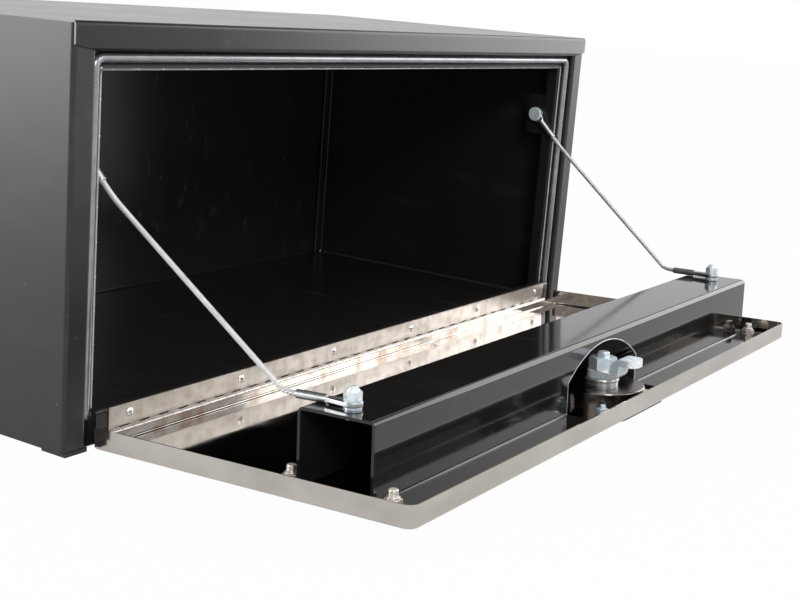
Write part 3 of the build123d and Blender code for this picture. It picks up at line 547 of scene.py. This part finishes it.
def mesh_piece(
    name: str, points: list[Vector], faces: list[tuple[int, ...]], material: bpy.types.Material
) -> bpy.types.Object:
    """Make an object from points and faces.

    Args:
        name: The piece's name.
        points: Its points, in metres.
        faces: Its faces, as indices of points.
        material: Its material.

    Returns:
        The object.
    """
    mesh = bpy.data.meshes.new(name)
    mesh.from_pydata([tuple(point) for point in points], [], faces)
    mesh.materials.append(material)
    shape = bmesh.new()
    shape.from_mesh(mesh)
    bmesh.ops.recalc_face_normals(shape, faces=shape.faces)
    shape.to_mesh(mesh)
    shape.free()
    for face in mesh.polygons:
        face.use_smooth = True
    piece = bpy.data.objects.new(name, mesh)
    bpy.context.scene.collection.objects.link(piece)
    return piece


def loft(rings: list[list[Vector]]) -> tuple[list[Vector], list[tuple[int, ...]]]:
    """Join rings of equal count into a closed skin with capped ends.

    Args:
        rings: The rings, in order.

    Returns:
        Points and faces.
    """
    count = len(rings[0])
    points = [point for ring in rings for point in ring]
    faces: list[tuple[int, ...]] = []
    for row in range(len(rings) - 1):
        for spot in range(count):
            after = (spot + 1) % count
            low = row * count
            faces.append((low + spot, low + after, low + count + after, low + count + spot))
    faces.append(tuple(range(count)))
    faces.append(tuple(range(len(points) - count, len(points))))
    return points, faces


def spread(start: float, end: float, steps: int) -> list[float]:
    """Evenly spaced numbers from start to end, with both ends."""
    return [start + (end - start) * n / steps for n in range(steps + 1)]


def ring_round(middle: Vector, side: Vector, rise: Vector, radius: float, count: int) -> list[Vector]:
    """Points in a ring round a point.

    Args:
        middle: The ring's centre.
        side: The way to its first point, of length 1.
        rise: The way a quarter turn on, of length 1.
        radius: Its radius, in metres.
        count: How many points it has.

    Returns:
        The points.
    """
    turns = spread(0.0, 2 * pi, count)[:-1]
    return [middle + radius * (cos(t) * side + sin(t) * rise) for t in turns]


@dataclass
class BoxShell:
    """The welded sheet box, its pads and the weld lines inside it."""

    palette: Palette
    sheet: float = 0.0019
    bead_radius: float = 0.0011
    bead_sides: int = 10
    bead_step: float = 0.004
    ripple: float = 0.18
    ripple_turn: float = 2.1
    sunk_share: float = 0.7
    lift_share: float = 0.5
    corner_in: float = 0.0155
    front_in: float = 0.02

    def dress(self) -> None:
        """Coat the sheets and pads."""
        dress(self.palette.box_coat, "floor_and_back", "top_hood")
        dress(self.palette.panel_coat, "side_panel_left", "side_panel_right")
        dress(self.palette.bracket_coat, "cable_bracket_left", "cable_bracket_right")
        dress(self.palette.dark_rubber, "foot_pads")

    def bead(self, name: str, start: Vector, end: Vector) -> None:
        """Lay one weld bead, a low wavy rod, in an inside corner; its coat is painted lighter than the box
        as a highlight along the corner.

        Args:
            name: The piece's name.
            start: One end.
            end: The other end.
        """
        run = end - start
        steps = int(run.length / self.bead_step)
        side = run.orthogonal().normalized()
        up = run.cross(side).normalized()
        rings = []
        for step in range(steps + 1):
            middle = start + run * (step / steps)
            radius = self.bead_radius * (1 + self.ripple * sin(step * self.ripple_turn))
            rings.append(ring_round(middle, side, up, radius, self.bead_sides))
        points, faces = loft(rings)
        # The bead's lighter coat is a painted highlight along the corner.
        piece = mesh_piece(name, points, faces, coat_of(self.palette.weld_bead_highlight_coat))
        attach(piece, "box")

    def build(self) -> None:
        """Coat the box and weld its inside corners."""
        self.dress()
        low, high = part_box("floor_and_back")
        sunk = self.bead_radius * self.sunk_share
        inside = high.x - self.sheet - sunk
        back = high.y - 2 * self.sheet - sunk
        bottom = low.z + self.sheet + self.bead_radius * self.lift_share
        top = high.z - self.bead_radius
        front = low.y + self.front_in
        for side, label in ((-1, "left"), (1, "right")):
            corner = Vector((side * (inside - self.corner_in), back, bottom))
            self.bead(f"corner_bead_{label}", corner, Vector((corner.x, back, top)))
            floor_start = Vector((side * inside, front, bottom))
            self.bead(f"floor_bead_{label}", floor_start, Vector((floor_start.x, back, bottom)))
        LOG.info("box shell welded")


@dataclass
class BulbSeal:
    """The bulb seal with its clip-on edge trim and the trim's steel tabs."""

    palette: Palette
    bulb_radius: float = 0.0040
    bulb_height: float = 0.0036
    bulb_wrap: float = 0.62
    bulb_steps: int = 18
    half_width: float = 0.0051
    corner_radius: float = 0.008
    rise_steps: int = 40
    corner_steps: int = 8
    trim_start: float = 0.0034
    trim_reach: float = 0.0096
    trim_base: float = 0.0001
    trim_thick: float = 0.0011
    bead_radius: float = 0.0009
    bead_sides: int = 10
    tab_pitch: float = 0.03
    tab_size: float = 0.0008
    tab_sides: int = 8
    tab_dome: float = 0.6

    def route(self) -> list[tuple[Vector, Vector]]:
        """The centre line up, across and down.

        Returns:
            Points and the way outwards from the opening at each.
        """
        low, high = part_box("door_seal")
        side = (high.x - low.x) / 2 - self.half_width
        top = high.z - self.half_width
        lip = high.y
        stops: list[tuple[Vector, Vector]] = []
        for z in spread(low.z, top - self.corner_radius, self.rise_steps):
            stops.append((Vector((-side, lip, z)), Vector((-1, 0, 0))))
        corner = Vector((-side + self.corner_radius, lip, top - self.corner_radius))
        for turn in spread(pi, pi / 2, self.corner_steps)[1:]:
            way = Vector((cos(turn), 0, sin(turn)))
            stops.append((corner + way * self.corner_radius, way))
        mirrored = [(Vector((-p.x, p.y, p.z)), Vector((-w.x, 0, w.z))) for p, w in reversed(stops)]
        return stops + mirrored

    def bulb(self) -> list[tuple[float, float]]:
        """The bulb's outline, as distances outwards and forwards of the lip."""
        turns = spread(-self.bulb_wrap, pi + self.bulb_wrap, self.bulb_steps)
        radius, height = self.bulb_radius, self.bulb_height
        return [(radius * cos(t), max(height + radius * sin(t), 0.0)) for t in turns]

    def trim(self) -> list[tuple[float, float]]:
        """The outline of the flat trim between the bulb and the lip's inner edge."""
        low, high = self.trim_base, self.trim_thick
        ends = (-self.trim_start, -self.trim_reach)
        return [(ends[0], low), (ends[0], high), (ends[1], high), (ends[1], low)]

    def edge_highlight_outline(self) -> list[tuple[float, float]]:
        """The outline of the pale rod on the trim's inner edge, a painted highlight for the lip's bend."""
        radius = self.bead_radius
        turns = spread(0.0, 2 * pi, self.bead_sides)[:-1]
        return [(-self.trim_reach + radius * cos(t), self.trim_thick + radius * sin(t)) for t in turns]

    def strip(self, name: str, outline: list[tuple[float, float]], finish: Finish) -> bpy.types.Object:
        """Run an outline along the whole route.

        Args:
            name: The strip's name.
            outline: Its outline, outwards and forwards of the lip.
            finish: Its finish.

        Returns:
            The strip.
        """
        forward = Vector((0, -1, 0))
        rings = [
            [spot + way * out + forward * ahead for out, ahead in outline]
            for spot, way in self.route()
        ]
        points, faces = loft(rings)
        strip = mesh_piece(name, points, faces, coat_of(finish))
        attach(strip, "box")
        return strip

    def build(self) -> None:
        """Make the seal, its trim and the trim's tabs."""
        seal = self.strip("bulb_seal", self.bulb(), self.palette.seal)
        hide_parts("door_seal")
        route = self.route()
        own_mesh(seal)
        self.strip("seal_trim", self.trim(), self.palette.dark_rubber)
        # The pale rod on the trim's edge is a painted highlight for the lip's bend.
        self.strip("trim_edge_highlight", self.edge_highlight_outline(), self.palette.bead)
        self.tabs(route)
        LOG.info("bulb seal made")

    def tabs(self, route: list[tuple[Vector, Vector]]) -> None:
        """Set small steel tabs along the trim.

        Args:
            route: The seal's centre line.
        """
        points: list[Vector] = []
        faces: list[tuple[int, ...]] = []
        carried = 0.0
        for (spot, way), (after, _) in zip(route, route[1:]):
            run = after - spot
            carried += run.length
            count = int(carried / self.tab_pitch)
            carried -= count * self.tab_pitch
            for n in range(count):
                middle = spot + run * ((n + 0.5) / count) - way * self.trim_reach
                middle = middle + Vector((0, -2 * self.bead_radius, 0))
                along = run.normalized()
                first = len(points)
                sides = self.tab_sides
                points += ring_round(middle, along, way, self.tab_size, sides)
                points.append(middle + Vector((0, -self.tab_size * self.tab_dome, 0)))
                faces += [(first + t, first + (t + 1) % sides, first + sides) for t in range(sides)]
        tabs = mesh_piece("trim_tabs", points, faces, coat_of(self.palette.clip))
        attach(tabs, "box")


@dataclass
class DoorCables:
    """The two stranded door cables, on the route that the CAD cables follow."""

    palette: Palette
    radius: float = 0.0024
    strands: int = 6
    strand_points: int = 6
    valley: float = 0.78
    lay: float = 0.021
    smoothness: int = 60
    route: list[Point] = field(
        default_factory=lambda: [
            (0.4123, -0.0317, 0.2290),
            (0.4123, -0.0418, 0.2193),
            (0.4108, -0.0551, 0.2086),
            (0.3940, -0.2054, 0.0939),
            (0.3929, -0.2154, 0.0863),
            (0.3920, -0.2274, 0.0869),
        ]
    )

    def centre_line(self, side: int) -> list[Vector]:
        """Follow the route as a smooth spline.

        Args:
            side: 1 for the right cable and -1 for the left.

        Returns:
            Points along it.
        """
        curve = bpy.data.curves.new("cable_route", "CURVE")
        curve.dimensions = "3D"
        spline = curve.splines.new("NURBS")
        spline.points.add(len(self.route) - 1)
        for point, (x, y, z) in zip(spline.points, self.route):
            point.co = (side * x, y, z, 1.0)
        spline.order_u = 3
        spline.use_endpoint_u = True
        spline.resolution_u = self.smoothness
        carrier = bpy.data.objects.new("cable_route", curve)
        bpy.context.scene.collection.objects.link(carrier)
        bpy.context.view_layer.update()
        mesh = bpy.data.meshes.new_from_object(carrier)
        points = [vertex.co.copy() for vertex in mesh.vertices]
        bpy.data.objects.remove(carrier)
        bpy.data.meshes.remove(mesh)
        return points

    def build_one(self, side: int, label: str) -> None:
        """Lay one cable.

        Args:
            side: 1 for the right cable and -1 for the left.
            label: Which node it stands for.
        """
        line = self.centre_line(side)
        count = self.strands * self.strand_points
        up = Vector((0, 0, 1))
        rings = []
        travelled = 0.0
        for number, spot in enumerate(line):
            before = line[max(number - 1, 0)]
            after = line[min(number + 1, len(line) - 1)]
            way = (after - before).normalized()
            across = way.cross(up).normalized()
            over = across.cross(way).normalized()
            travelled += (spot - before).length
            twist = 2 * pi * travelled / self.lay
            ring = []
            for n in range(count):
                angle = 2 * pi * n / count
                crest = abs(cos(self.strands * (angle - twist) / 2))
                radius = self.radius * (self.valley + (1 - self.valley) * crest)
                ring.append(spot + radius * (cos(angle) * across + sin(angle) * over))
            rings.append(ring)
        points, faces = loft(rings)
        cable = mesh_piece(f"wire_{label}", points, faces, coat_of(self.palette.wire))
        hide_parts(label)
        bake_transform(cable)
        LOG.info("laid %s with %d rings", label, len(rings))

    def build(self) -> None:
        """Lay both cables and dress their ends."""
        self.build_one(1, "cable_right")
        self.build_one(-1, "cable_left")
        palette = self.palette
        dress(palette.sleeve, "upper_eye_left", "upper_eye_right", "lower_eye_left", "lower_eye_right")
        dress(palette.zinc, "anchor_spacers", "lower_washers", "lower_lock_nuts", "anchor_nuts")
        dress(palette.threads, "lower_bolts")
        dress(palette.cross_threads, "anchor_bolts")


@dataclass
class DropDoor:
    """The stainless pan, its hinge and the lock channel bolted across it."""

    palette: Palette
    tilt: float = radians(3.0)
    pin_y: float = -0.0443395
    pin_z: float = 0.012
    channel_half: float = 0.409575
    channel_near: float = 0.2015
    channel_far: float = 0.2735
    channel_top: float = 0.0612
    channel_floor: float = -0.0068
    foot_top: float = -0.0043
    arch_half: float = 0.080
    arch_side: float = 0.0328
    arch_radius: float = 0.128
    corner: float = 0.0048
    edge: float = 0.0007
    edge_sides: int = 8
    edge_lean: Point = (0.3, 0.4, 0.86)
    arch_sunk: float = 0.7
    end_sunk: float = 1.2
    leg_steps: int = 6
    arch_steps: int = 48
    corner_steps: int = 4

    def spot(self, x: float, out: float, up: float) -> Vector:
        """A point on the door.

        Args:
            x: Across the door.
            out: Away from the hinge, along the door.
            up: Off the door's inner face.

        Returns:
            The point in the model's frame.
        """
        y = self.pin_y - out * cos(self.tilt) + up * sin(self.tilt)
        z = self.pin_z + out * sin(self.tilt) + up * cos(self.tilt)
        return Vector((x, y, z))

    def rod(self, name: str, line: list[Vector], finish: Finish) -> None:
        """Lay a thin pale rod along a line on the door, a painted highlight standing in for the light
        caught by a rounded edge.

        Args:
            name: The piece's name.
            line: Points along it.
            finish: Its finish.
        """
        rings = []
        lean = Vector(self.edge_lean)
        for number, middle in enumerate(line):
            way = line[min(number + 1, len(line) - 1)] - line[max(number - 1, 0)]
            side = way.cross(lean).normalized()
            rise = side.cross(way).normalized()
            rings.append(ring_round(middle, side, rise, self.edge, self.edge_sides))
        points, faces = loft(rings)
        piece = mesh_piece(name, points, faces, coat_of(finish))
        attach(piece, "door")

    def arch_edge(self) -> list[Vector]:
        """The edge of the arch in the channel's front wall, from foot to foot."""
        out = self.channel_far - self.edge * self.arch_sunk
        shoulder = self.channel_floor + self.arch_side
        drop = (self.arch_radius**2 - self.arch_half**2) ** 0.5
        leg = spread(self.foot_top, shoulder, self.leg_steps)[:-1]
        line = [self.spot(-self.arch_half, out, up) for up in leg]
        for x in spread(-self.arch_half, self.arch_half, self.arch_steps):
            up = shoulder + (self.arch_radius**2 - x**2) ** 0.5 - drop
            line.append(self.spot(x, out, up))
        line += [self.spot(self.arch_half, out, up) for up in reversed(leg)]
        return line

    def end_edge(self, side: int) -> list[Vector]:
        """The painted highlight round one open end of the channel, a pale rod along its edge.

        Args:
            side: 1 for the right end and -1 for the left.

        Returns:
            Points along it.
        """
        x = side * (self.channel_half - self.edge * self.end_sunk)
        near, far = self.channel_near + self.edge, self.channel_far - self.edge
        top = self.channel_top - self.edge
        bend = self.corner
        leg = spread(self.foot_top, top - bend, self.leg_steps)
        quarter = spread(0.0, pi / 2, self.corner_steps)
        line = [self.spot(x, near, up) for up in leg]
        for turn in quarter[1:]:
            line.append(self.spot(x, near + bend * (1 - cos(turn)), top - bend * (1 - sin(turn))))
        for turn in quarter:
            line.append(self.spot(x, far - bend * (1 - sin(turn)), top - bend * (1 - cos(turn))))
        line += [self.spot(x, far, up) for up in reversed(leg[:-1])]
        return line

    def build(self) -> None:
        """Dress the door and lay the channel's painted edge highlights, thin pale rods along its edges."""
        palette = self.palette
        dress(palette.mirror, "door_pan")
        dress(palette.hinge, "hinge_body_leaf", "hinge_door_leaf", "hinge_pin")
        dress(palette.rivet, "hinge_rivets")
        dress(palette.channel_coat, "lock_channel")
        dress(palette.nickel_threads, "channel_studs")
        dress(palette.nickel, "channel_nuts")
        # The arch outline is a painted highlight: a pale rod along the cut edge.
        self.rod("arch_edge", self.arch_edge(), palette.painted_edge_highlight)
        # Pale rods round the channel's open ends stand in for edge highlights.
        self.rod("channel_end_edge_left", self.end_edge(-1), palette.painted_end_highlight)
        self.rod("channel_end_edge_right", self.end_edge(1), palette.painted_end_highlight)
        LOG.info("door dressed")


@dataclass
class HandleLatch:
    """The T-handle latch: dish, gasket, shaft, cam and lock plug."""

    palette: Palette

    def build(self) -> None:
        """Dress the latch."""
        palette = self.palette
        dress(palette.dish, "latch_dish")
        dress(palette.dark_rubber, "latch_gasket")
        dress(palette.threads, "dish_studs")
        dress(palette.zinc, "dish_nuts")
        dress(palette.housing, "latch_housing", "housing_collar")
        dress(palette.cam, "latch_cam", "latch_shaft", "cam_nut")
        dress(palette.handle, "t_handle")
        dress(palette.rivet, "handle_pin")
        dress(palette.brass, "key_plug")
        LOG.info("latch dressed")


@dataclass(frozen=True)
class Lamp:
    """One soft square lamp, in metres and watts."""

    name: str
    place: Point
    target: Point
    size: float
    power: float

    def hang(self) -> None:
        """Hang the lamp and point it at its target."""
        data = bpy.data.lights.new(self.name, "AREA")
        data.size = self.size
        data.energy = self.power
        lamp = bpy.data.objects.new(self.name, data)
        lamp.location = self.place
        aim = Vector(self.target) - Vector(self.place)
        lamp.rotation_euler = aim.to_track_quat("-Z", "Y").to_euler()
        bpy.context.scene.collection.objects.link(lamp)


@dataclass
class Studio:
    """White sweep, soft lamps and the camera where the photographer stood."""

    image_width: float = 800.0
    sensor_mm: float = 36.0
    focal_pixels: float = 1378.9
    stand: Point = (-1.23485, -0.84263, 0.39987)
    yaw: float = 58.02
    pitch: float = 12.54
    roll: float = 4.57
    sight: float = 60.0
    floor_half: float = 12.0
    floor_paint: Colour = (0.62, 0.61, 0.60)
    floor_glow: float = 0.98
    floor_mirrored: float = 0.45
    horizon: Colour = (0.95, 0.95, 0.96)
    ceiling: Colour = (0.10, 0.10, 0.11)
    fade_from: float = 0.22
    fade_to: float = 0.75
    room_light: float = 0.5
    lamps: tuple[Lamp, ...] = (
        Lamp("overhead_lamp", (-0.3, -0.9, 2.6), (0.0, 0.0, 0.1), 2.2, 34.0),
        Lamp("side_lamp", (-2.4, 2.2, 0.75), (-0.46, 0.2, 0.25), 1.4, 60.0),
        Lamp("front_lamp", (0.9, -2.9, 1.7), (0.1, 0.0, 0.1), 1.6, 20.0),
        Lamp("right_lamp", (3.0, -1.2, 1.15), (0.1, -0.3, 0.08), 2.3, 44.0),
        Lamp("near_lamp", (-2.0, -2.2, 1.7), (0.0, -0.3, 0.05), 0.8, 34.0),
    )

    def camera(self) -> None:
        """Stand the camera where the photo was taken from."""
        yaw, pitch, roll = (radians(angle) for angle in (self.yaw, self.pitch, self.roll))
        ahead = Vector((sin(yaw) * cos(pitch), cos(yaw) * cos(pitch), -sin(pitch)))
        level = Vector((cos(yaw), -sin(yaw), 0.0))
        upright = level.cross(ahead)
        right = level * cos(roll) + upright * sin(roll)
        up = upright * cos(roll) - level * sin(roll)
        data = bpy.data.cameras.new("photo_camera")
        data.sensor_width = self.sensor_mm
        data.lens = self.focal_pixels * self.sensor_mm / self.image_width
        data.clip_end = self.sight
        viewer = bpy.data.objects.new("photo_camera", data)
        turned = Matrix((right, up, -ahead)).transposed().to_4x4()
        viewer.matrix_world = Matrix.Translation(self.stand) @ turned
        bpy.context.scene.collection.objects.link(viewer)
        bpy.context.scene.camera = viewer

    def floor(self) -> None:
        """Lay the pale floor, which the camera sees as white with a faint shadow."""
        sheet = NodeSheet.of_material("studio_floor")
        matte = sheet.node("ShaderNodeBsdfDiffuse", inputs={"Color": (*self.floor_paint, 1.0)})
        glow = sheet.node("ShaderNodeEmission", inputs={"Color": (1.0, 1.0, 1.0, 1.0), "Strength": 1.0})
        share = sheet.node("ShaderNodeLightPath", out="Is Camera Ray") * self.floor_glow
        mirrored = sheet.node("ShaderNodeLightPath", out="Is Glossy Ray") * self.floor_mirrored
        sheet.end(sheet.node("ShaderNodeMixShader", inputs={0: share + mirrored, 1: matte, 2: glow}))
        half = self.floor_half
        corners = [Vector((x * half, y * half, 0.0)) for x, y in ((-1, -1), (1, -1), (1, 1), (-1, 1))]
        mesh_piece("studio_floor", corners, [(0, 1, 2, 3)], sheet.owner)

    def sky(self) -> None:
        """Light the room: white to the camera, and dark overhead in mirrored rays."""
        world = bpy.data.worlds.new("studio")
        bpy.context.scene.world = world
        sheet = NodeSheet(world, "ShaderNodeOutputWorld")
        height = sheet.along(2, "Generated").ramp(self.fade_from, self.fade_to)
        mirrored = sheet.tint(height, self.horizon, self.ceiling)
        seen = sheet.node("ShaderNodeLightPath", out="Is Camera Ray")
        glossy = sheet.node("ShaderNodeLightPath", out="Is Glossy Ray")
        soft = sheet.node("ShaderNodeBackground", inputs={"Strength": self.room_light})
        gleam = sheet.node("ShaderNodeBackground", inputs={"Color": mirrored})
        white = sheet.node("ShaderNodeBackground", inputs={"Color": (1.0, 1.0, 1.0, 1.0)})
        indoors = sheet.node("ShaderNodeMixShader", inputs={0: glossy, 1: soft, 2: gleam})
        sheet.end(sheet.node("ShaderNodeMixShader", inputs={0: seen, 1: indoors, 2: white}))

    def build(self) -> None:
        """Set up the studio."""
        self.sky()
        self.floor()
        for lamp in self.lamps:
            lamp.hang()
        self.camera()
        bpy.context.scene.view_settings.view_transform = "Standard"
        LOG.info("studio ready")


def main() -> None:
    """Dress the tool box piece by piece and set up the studio."""
    logging.basicConfig(level=logging.INFO)
    palette = Palette()
    BoxShell(palette).build()
    BulbSeal(palette).build()
    DropDoor(palette).build()
    DoorCables(palette).build()
    HandleLatch(palette).build()
    Studio().build()


if __name__ == "__main__":
    main()
